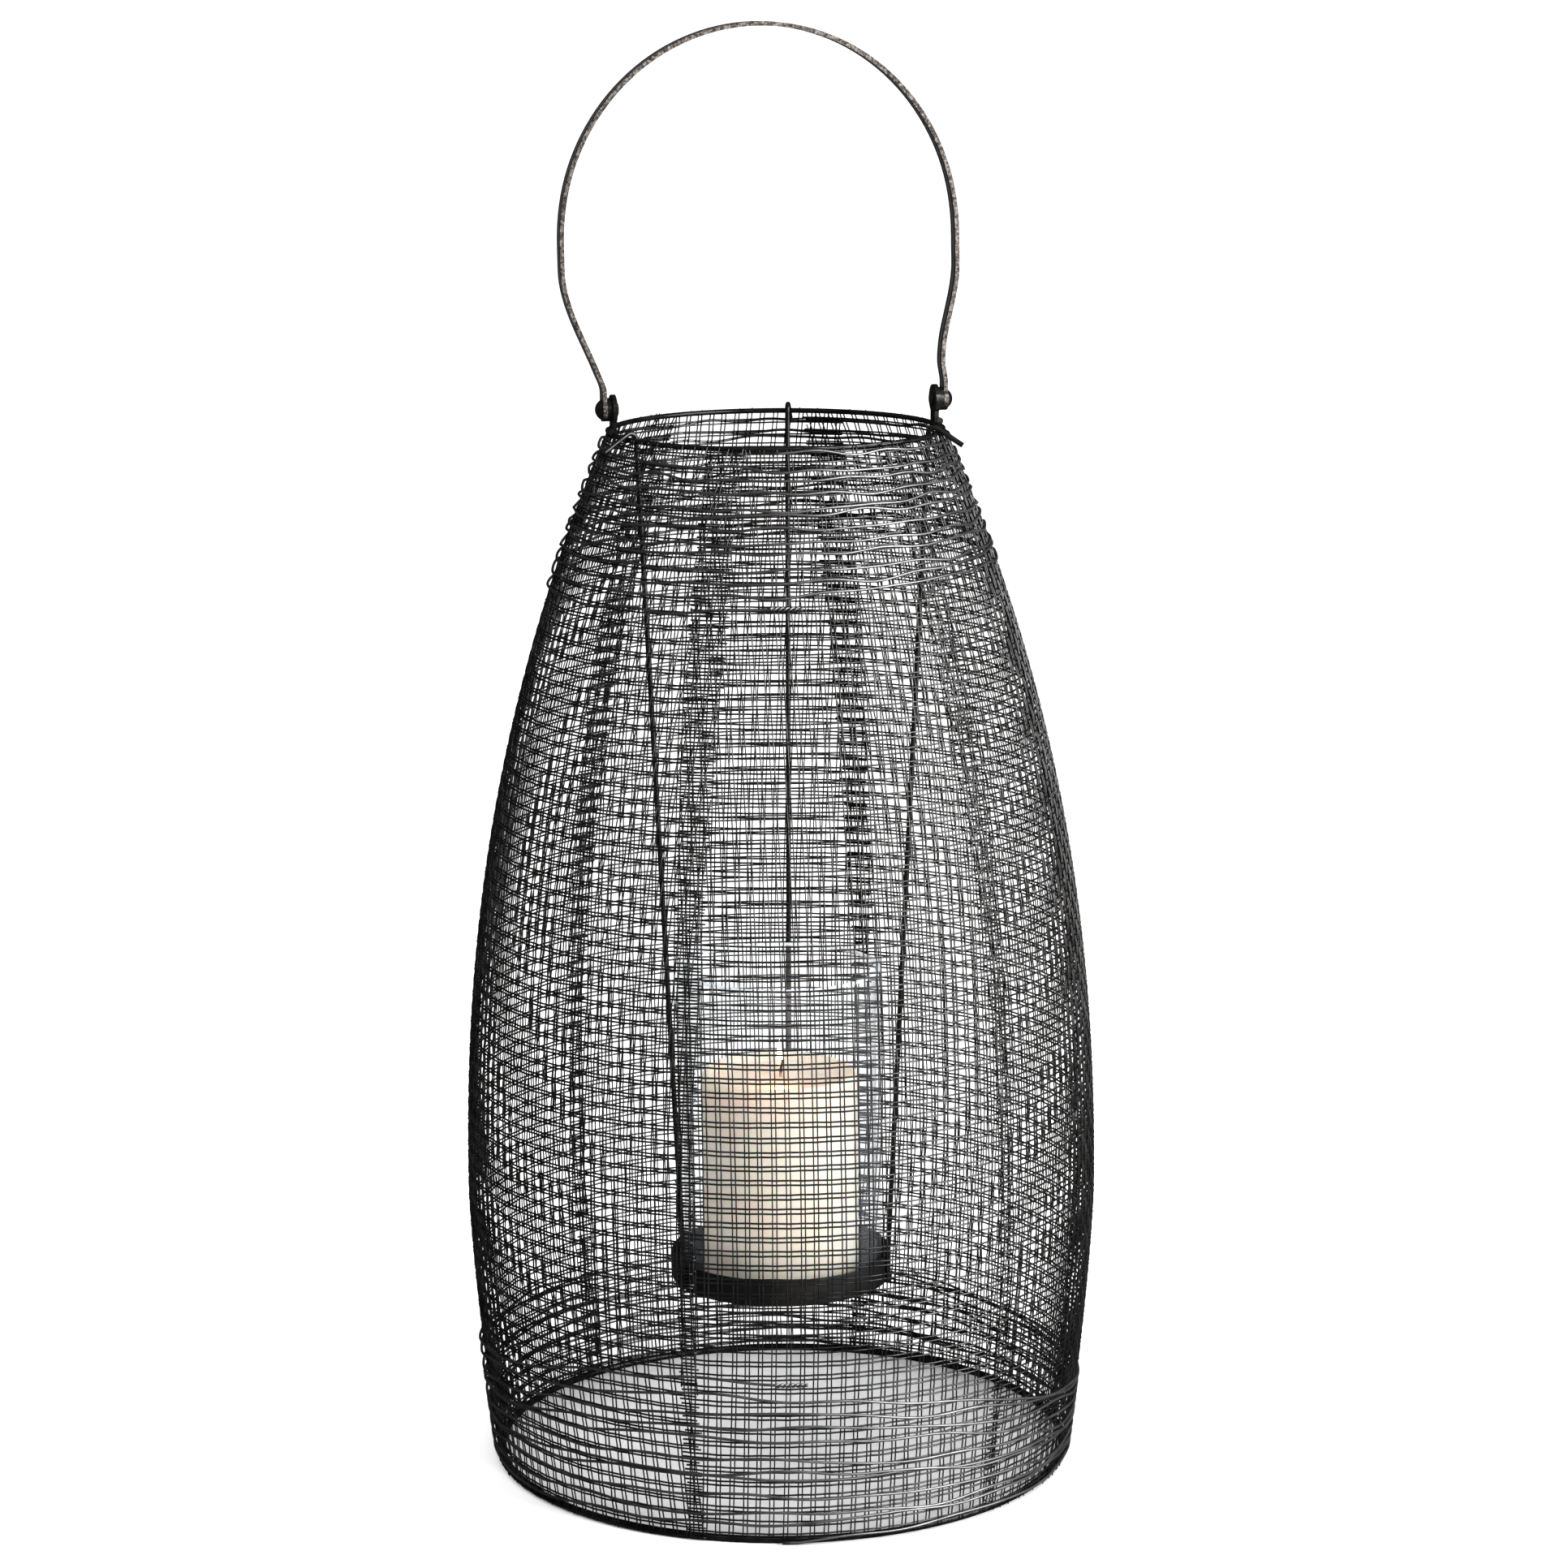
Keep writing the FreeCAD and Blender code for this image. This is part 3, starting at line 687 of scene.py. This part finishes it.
def layer_shaders(tree, share, first, second):
    """The first shader where the share is 0, and the second where it is 1."""
    made = add(tree, "ShaderNodeMixShader")
    for socket, source in enumerate((share, first, second)):
        tree.links.new(source, made.inputs[socket])
    return made.outputs["Shader"]


glass_low, glass_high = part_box("glass_chimney")
glass_radius = (glass_high[0] - glass_low[0]) / 2
wall = 2.4 * mm
glass_outline = round_off([
    (glass_radius - wall, glass_low[2]), (glass_radius, glass_low[2]),
    (glass_radius, glass_high[2]), (glass_radius - wall, glass_high[2])], 1.15 * mm)
chimney = turned("clear_chimney", glass_outline, steps=160)
clear_glass, tree, unused = new_material("clear_glass")
tree.nodes.remove(unused)
swim = add(tree, "ShaderNodeBump")
swim.inputs["Distance"].default_value = 0.3 * mm
tree.links.new(noise(tree, object_place(tree, (1, 1, 0.35)), 38, detail=1), swim.inputs["Height"])
through = add(tree, "ShaderNodeBsdfTransparent")
through.inputs["Color"].default_value = (0.988, 0.991, 0.992, 1)
sheen = add(tree, "ShaderNodeBsdfGlossy")
sheen.inputs["Roughness"].default_value = 0.04
sheen.inputs["Color"].default_value = (0.92, 0.97, 1.0, 1)
facing = add(tree, "ShaderNodeLayerWeight")
facing.inputs["Blend"].default_value = 0.5
steep = add(tree, "ShaderNodeMath", operation="POWER")
steep.inputs[1].default_value = 2.5
tree.links.new(facing.outputs["Facing"], steep.inputs[0])
tree.links.new(swim.outputs["Normal"], sheen.inputs["Normal"])
milk = add(tree, "ShaderNodeBsdfDiffuse")
milk.inputs["Color"].default_value = (0.80, 0.88, 0.95, 1)
sheen_share = spread(tree, steep.outputs["Value"], 0.02, 0.42, 0, 1)
ground_from = glass_high[2] - 1.6 * mm
milk_share = spread(tree, height_of_place(tree), 0.03, 0.7, ground_from, ground_from + 0.7 * mm)
clear_wall = layer_shaders(tree, sheen_share, through.outputs["BSDF"], sheen.outputs["BSDF"])
glass_wall = layer_shaders(tree, milk_share, clear_wall, milk.outputs["BSDF"])
tree.links.new(glass_wall, tree.nodes["Material Output"].inputs["Surface"])
chimney.data.materials.append(clear_glass)
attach(chimney, "chimney")
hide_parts("glass_chimney")
print("chimney is", round(2 * glass_radius / mm, 1), "mm across and",
      round((glass_high[2] - glass_low[2]) / mm), "mm tall")

# %% [markdown]
# ## The candle
# A pillar candle that has burned for an hour has a soft rim, a shallow bowl and a still pool round
# the wick. Wax is cloudy: light goes in and comes out nearby, so it needs subsurface scattering. The
# rim is a little uneven, because the wax softened more on one side.

# %% Make the candle
candle_low, candle_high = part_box("candle")
candle_radius = (candle_high[0] - candle_low[0]) / 2
top = candle_high[2]
foot = candle_low[2]
candle_outline = [(at_axis, foot)]
candle_outline += rounded((candle_radius, foot), (0, foot), (candle_radius, top), 1.5 * mm)
candle_outline += [(candle_radius, foot + share * (top - foot)) for share in (0.2, 0.4, 0.6, 0.8, 0.95)]
lip_and_bowl = ((0.2, 1.7), (0.9, 0.5), (2.0, 0), (3.4, 0.25), (5.0, 1.4), (6.6, 2.6), (9.0, 3.1))
candle_outline += [(candle_radius - inward * mm, top - drop * mm) for inward, drop in lip_and_bowl]
candle_outline += [(candle_radius * 0.45, top - 3.2 * mm), (at_axis, top - 3.1 * mm)]
candle = turned("pillar_candle", candle_outline, closed=False, steps=144)
for vertex in candle.data.vertices:
    angle = math.atan2(vertex.co.y, vertex.co.x)
    soft = max(0.0, 1 - (top - vertex.co.z) / (9 * mm))
    vertex.co.z -= soft * mm * (0.35 + 0.3 * math.sin(2 * angle + 1) + 0.15 * math.sin(5 * angle))
    dent = 0.12 * mm * math.sin(3 * angle + 40 * vertex.co.z)
    vertex.co.x -= dent * math.cos(angle)
    vertex.co.y -= dent * math.sin(angle)
wax, tree, shader = new_material(
    "wax", Subsurface_Weight=0.75, Subsurface_Scale=0.012, Subsurface_Radius=(1.0, 0.55, 0.28),
    Specular_IOR_Level=0.4, Coat_Weight=0.12, Coat_Roughness=0.2)
place = object_place(tree)
cloud = noise(tree, place, 22, detail=3)
tree.links.new(
    ramp(tree, cloud, (0.3, (0.95, 0.80, 0.65)), (0.55, (0.97, 0.85, 0.73)), (0.75, (0.98, 0.89, 0.79))),
    shader.inputs["Base Color"])
tree.links.new(spread(tree, noise(tree, place, 160), 0.35, 0.6), shader.inputs["Roughness"])
bump(tree, shader, noise(tree, place, 120, detail=4), 0.12 * mm)
candle.data.materials.append(wax)
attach(candle, "candle")
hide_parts("candle")
print("candle is", round(2 * candle_radius / mm), "by", round((top - foot) / mm), "mm")

# %% [markdown]
# ## The wick and the flame
# The wick is braided cotton that curls over as it burns, waxed below and charred above. The flame is
# the one thing here that isn't matter: a small teardrop that only gives light, orange at its foot and
# nearly white above. So small a shape lights the wax weakly and with much noise, so a small warm lamp
# does that. It stands at the front lip of the candle, where the wax glows most, and not in the flame.
# Neither is mirrored in the glass, where the flame would be a row of bright dots. Both go with the
# candle when it is lifted.

# %% Make the wick
wick_low, wick_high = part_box("wick")
pool_height = top - 3.2 * mm
rise = np.linspace(0, 1, 26)
wick_line = np.stack((0.9 * mm * rise ** 2.2, -1.3 * mm * rise ** 2.5,
                      wick_low[2] + (wick_high[2] - 0.5 * mm - wick_low[2]) * rise), axis=1)
wick_girth = 0.85 * mm * (1 + 0.1 * np.sin(rise * 60)) * (1 - 0.35 * rise ** 6)
towards_x = np.tile((1.0, 0.0, 0.0), (len(rise), 1))
wick = mesh_of_tubes("burnt_wick", [tube(wick_line, wick_girth, 10, towards_x)])
char, tree, shader = new_material("char", Specular_IOR_Level=0.3)
burnt = spread(tree, height_of_place(tree), 0, 1, pool_height, pool_height + 4 * mm)
cotton_to_char = ramp(tree, burnt, (0.1, (0.35, 0.27, 0.16)), (0.7, (0.012, 0.010, 0.009)))
tree.links.new(cotton_to_char, shader.inputs["Base Color"])
braid = noise(tree, object_place(tree, (1, 1, 0.6)), 1600, detail=2)
tree.links.new(spread(tree, braid, 0.6, 0.95), shader.inputs["Roughness"])
bump(tree, shader, braid, 0.15 * mm)
wick.data.materials.append(char)
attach(wick, "candle")
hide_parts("wick")
print("wick stands", round((wick_high[2] - pool_height) / mm, 1), "mm out of the pool")

# %% Light the flame
flame_foot = wick_high[2] - 4.5 * mm
flame_height = 14 * mm
flame_girth = 1.7 * mm
flame_outline = [
    (flame_girth * math.sin(math.pi * share ** 0.62) ** 0.9 * (1 - 0.35 * share) + at_axis,
     flame_foot + flame_height * share) for share in np.linspace(0, 1, 22)]
flame = turned("flame", flame_outline, closed=False, steps=32)
glow, tree, shader = new_material("glow", Base_Color=(0, 0, 0, 1), Emission_Strength=9.0, Roughness=1.0)
up_flame = spread(tree, height_of_place(tree), 0, 1, flame_foot, flame_foot + flame_height)
flame_colour = ramp(
    tree, up_flame,
    (0.0, (0.9, 0.16, 0.02)), (0.25, (1.0, 0.5, 0.14)), (0.6, (1.0, 0.82, 0.5)), (1.0, (1.0, 0.9, 0.7)))
tree.links.new(flame_colour, shader.inputs["Emission Color"])
flame.data.materials.append(glow)
flame.visible_glossy = False
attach(flame, "candle")
lamp_data = bpy.data.lights.new("flame_lamp", "POINT")
lamp_data.energy = 0.022
lamp_data.color = (1.0, 0.36, 0.07)
lamp_data.shadow_soft_size = 2 * mm
lamp = bpy.data.objects.new("flame_lamp", lamp_data)
lip_distance = 22 * mm
lamp.location = -lip_distance * level_ahead + (top - 0.8 * mm) * straight_up
lamp.parent = flame
lamp.visible_glossy = False
bpy.context.scene.collection.objects.link(lamp)
print("flame is", round(flame_height / mm), "mm tall")

# %% [markdown]
# ## The studio
# Blackened iron shows its lights more than its colour. A white room would be mirrored in every wire
# and turn the whole mesh grey, so the room is white only where the camera looks at it straight, and
# nearly dark for all else. The floor is plain and pale, large enough to fill the picture, and is left
# out of reflections for the same reason. The lamps share the work: a broad sun from above on the left
# and a soft lamp on the right light the surfaces and are left out of reflections, and a second lamp
# on the right is seen only in reflections, where it draws the silver on that side.

# %% Floor, surround and lamps
floor_mesh = bpy.data.meshes.new("studio_floor")
floor_mesh.from_pydata([(-60, -60, 0), (60, -60, 0), (60, 60, 0), (-60, 60, 0)], [], [(0, 1, 2, 3)])
floor = bpy.data.objects.new("studio_floor", floor_mesh)
bpy.context.scene.collection.objects.link(floor)
floor_paint, tree, shader = new_material("floor_paint", Roughness=0.9, Specular_IOR_Level=0.1)
tree.links.new(
    ramp(tree, noise(tree, object_place(tree), 3), (0.3, (0.90, 0.90, 0.90)), (0.7, (0.93, 0.93, 0.93))),
    shader.inputs["Base Color"])
floor_mesh.materials.append(floor_paint)
floor.visible_glossy = False

surround = bpy.data.worlds.new("studio_surround")
surround.use_nodes = True
tree = surround.node_tree
ray = add(tree, "ShaderNodeLightPath")
lit = add(tree, "ShaderNodeMapRange")
lit.inputs["To Min"].default_value = 0.085
lit.inputs["To Max"].default_value = 1.05
tree.links.new(ray.outputs["Is Camera Ray"], lit.inputs["Value"])
tree.links.new(lit.outputs["Result"], tree.nodes["Background"].inputs["Strength"])
tree.nodes["Background"].inputs["Color"].default_value = (1, 1, 1, 1)
bpy.context.scene.world = surround
bpy.context.scene.view_settings.view_transform = "Standard"


def soft_lamp(name, place, aim, size, power):
    """A square soft lamp that looks at a point, and isn't seen itself."""
    data = bpy.data.lights.new(name, "AREA")
    data.size = size
    data.energy = power
    made = bpy.data.objects.new(name, data)
    made.location = place
    made.rotation_euler = (aim - place).to_track_quat("-Z", "Y").to_euler()
    made.visible_camera = False
    bpy.context.scene.collection.objects.link(made)
    return made


middle = Vector((0, 0, 0.25))
sky_data = bpy.data.lights.new("sky_panel", "SUN")
sky_data.energy = 4.6
sky_data.angle = math.radians(100)
sky = bpy.data.objects.new("sky_panel", sky_data)
sky.rotation_euler = (-seen_from_camera(-0.3, -0.05, 1)).to_track_quat("-Z", "Y").to_euler()
sky.visible_glossy = False
bpy.context.scene.collection.objects.link(sky)
key_lamp = soft_lamp("key_lamp", seen_from_camera(1.4, -1.0, 0.7), middle, 0.8, 60)
key_lamp.visible_glossy = False
silver_lamp = soft_lamp("silver_lamp", seen_from_camera(1.4, -0.8, 0.8), middle, 1.5, 80)
silver_lamp.visible_diffuse = False
print("studio ready")
